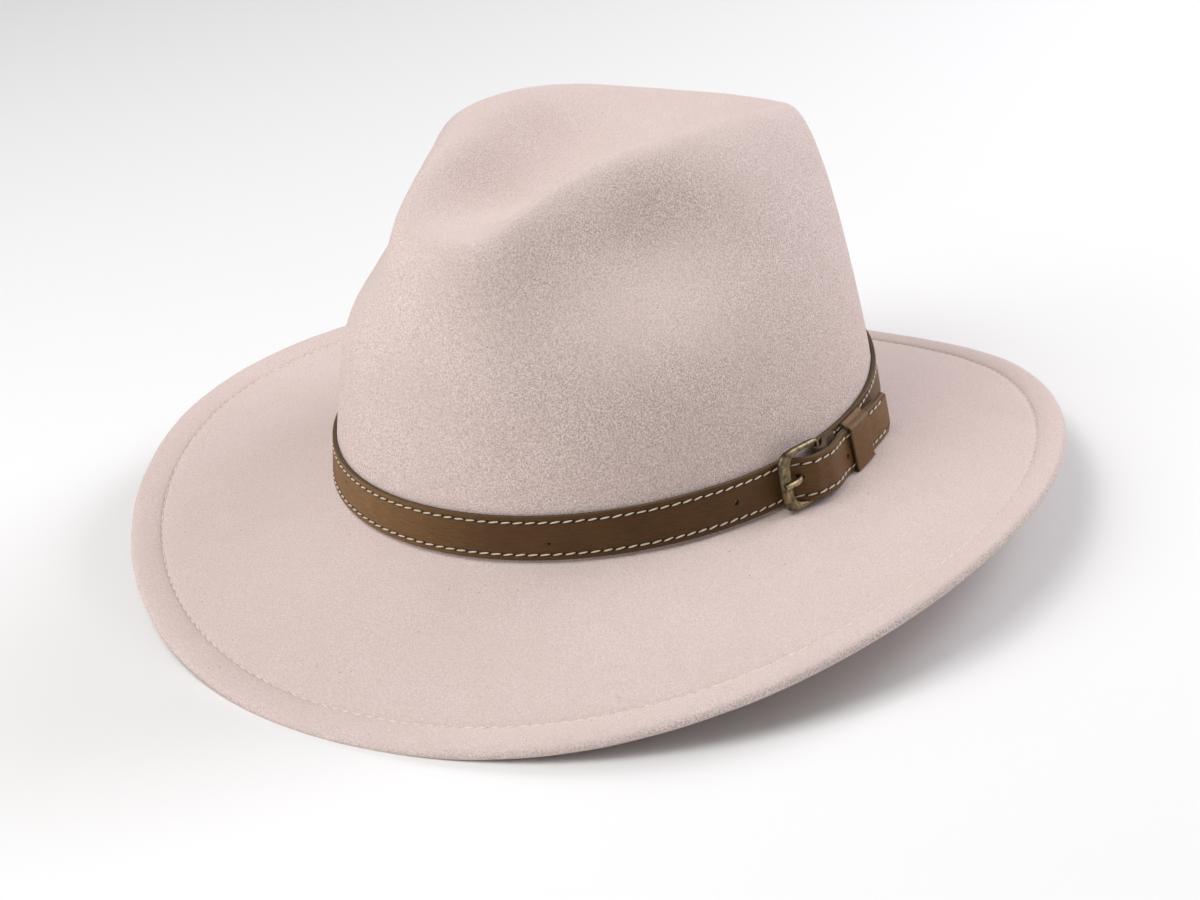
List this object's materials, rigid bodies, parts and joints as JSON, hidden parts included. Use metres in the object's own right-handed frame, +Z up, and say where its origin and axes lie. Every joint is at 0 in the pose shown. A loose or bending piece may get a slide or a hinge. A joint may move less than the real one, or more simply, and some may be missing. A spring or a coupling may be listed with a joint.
{
  "type": "felt hat",
  "caption": "Wide-brimmed soft felt hat with a creased, pinched crown and a stitched leather belt band with a small brass buckle.",
  "frame": {"origin": "on the surface that the brim rests on, below the middle of the hat's bounding box", "axes": "+Z up through the crown, -Y toward the front of the hat, +X toward the wearer's left, where the buckle is"},
  "size_m": [0.3036, 0.3225, 0.1366],
  "materials": {
    "felt": "soft matt wool felt, pale pinkish beige",
    "belt_leather": "smooth brown leather with a low sheen",
    "antique_brass": "antique brass, worn brighter on the edges"
  },
  "bodies": {
    "root": {"felt_body": "felt", "hat_band": "belt_leather", "buckle_frame": "antique_brass", "buckle_prong": "antique_brass", "keeper_loop": "belt_leather"}
  },
  "joints": []
}
